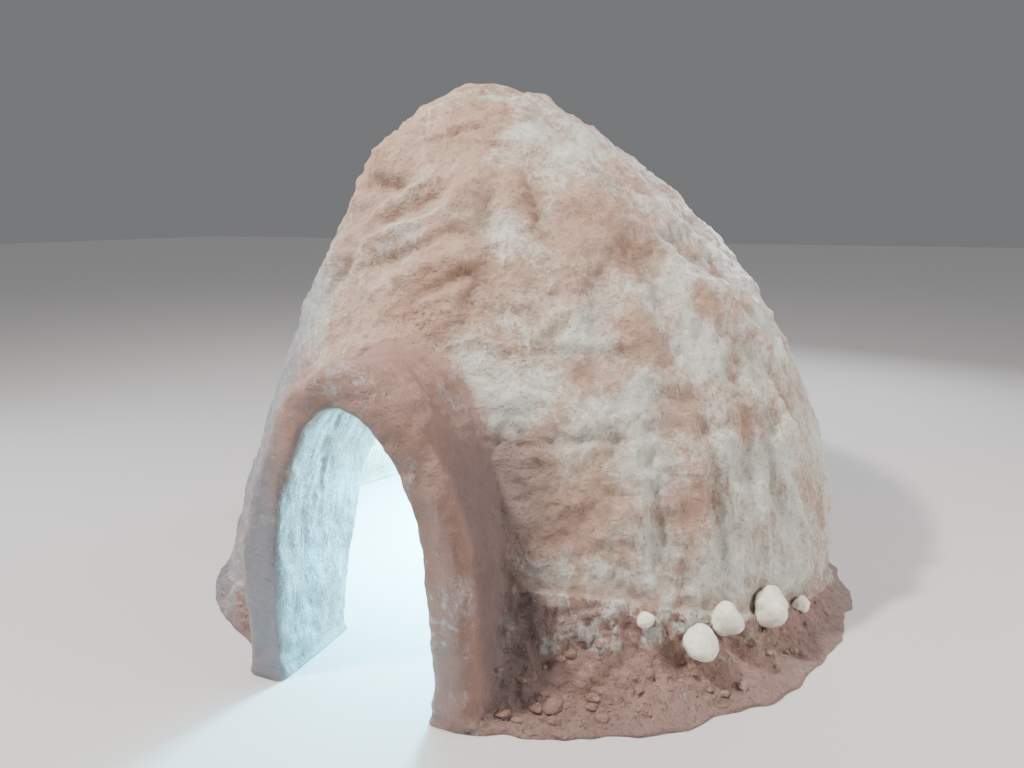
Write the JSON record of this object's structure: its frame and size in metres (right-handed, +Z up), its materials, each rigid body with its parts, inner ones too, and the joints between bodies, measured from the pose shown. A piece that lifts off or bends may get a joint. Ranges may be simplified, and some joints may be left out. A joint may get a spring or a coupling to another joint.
{
  "type": "igloo",
  "caption": "Snow-block igloo with a leaning dome, a short thick arched porch over its doorway and snow banked against its foot",
  "frame": {"origin": "on the ground at the middle of the igloo's box, a little in front of the dome's upright axis and to its right", "axes": "+Z up, the porch faces -Y, +X is to the right seen from the porch"},
  "size_m": [2.9955, 2.9858, 2.174],
  "materials": {
    "wall_snow": "packed snow, rough, smoothed by hand over the joints, with paler icy patches",
    "porch_snow": "packed snow, rounded and rough, hard at the rim",
    "loose_snow": "loose banked snow, soft and crusted"
  },
  "bodies": {
    "root": {"course_01": "wall_snow", "course_02": "wall_snow", "course_03": "wall_snow", "course_04": "wall_snow", "course_05": "wall_snow", "course_06": "wall_snow", "course_07": "wall_snow", "course_08": "wall_snow", "course_09": "wall_snow", "course_10": "wall_snow", "king_block": "wall_snow", "porch_front_jamb_left": "porch_snow", "porch_front_jamb_right": "porch_snow", "porch_front_haunch_left": "porch_snow", "porch_front_haunch_right": "porch_snow", "porch_front_shoulder_left": "porch_snow", "porch_front_shoulder_right": "porch_snow", "porch_front_key": "porch_snow", "porch_rear_jamb_left": "porch_snow", "porch_rear_jamb_right": "porch_snow", "porch_rear_haunch_left": "porch_snow", "porch_rear_haunch_right": "porch_snow", "porch_rear_shoulder_left": "porch_snow", "porch_rear_shoulder_right": "porch_snow", "porch_rear_key": "porch_snow", "bank_left_front": "loose_snow", "bank_left_middle": "loose_snow", "bank_left_side": "loose_snow", "bank_right_front": "loose_snow", "bank_right_middle": "loose_snow", "bank_right_side": "loose_snow", "foot_chunks": "loose_snow"}
  },
  "joints": []
}
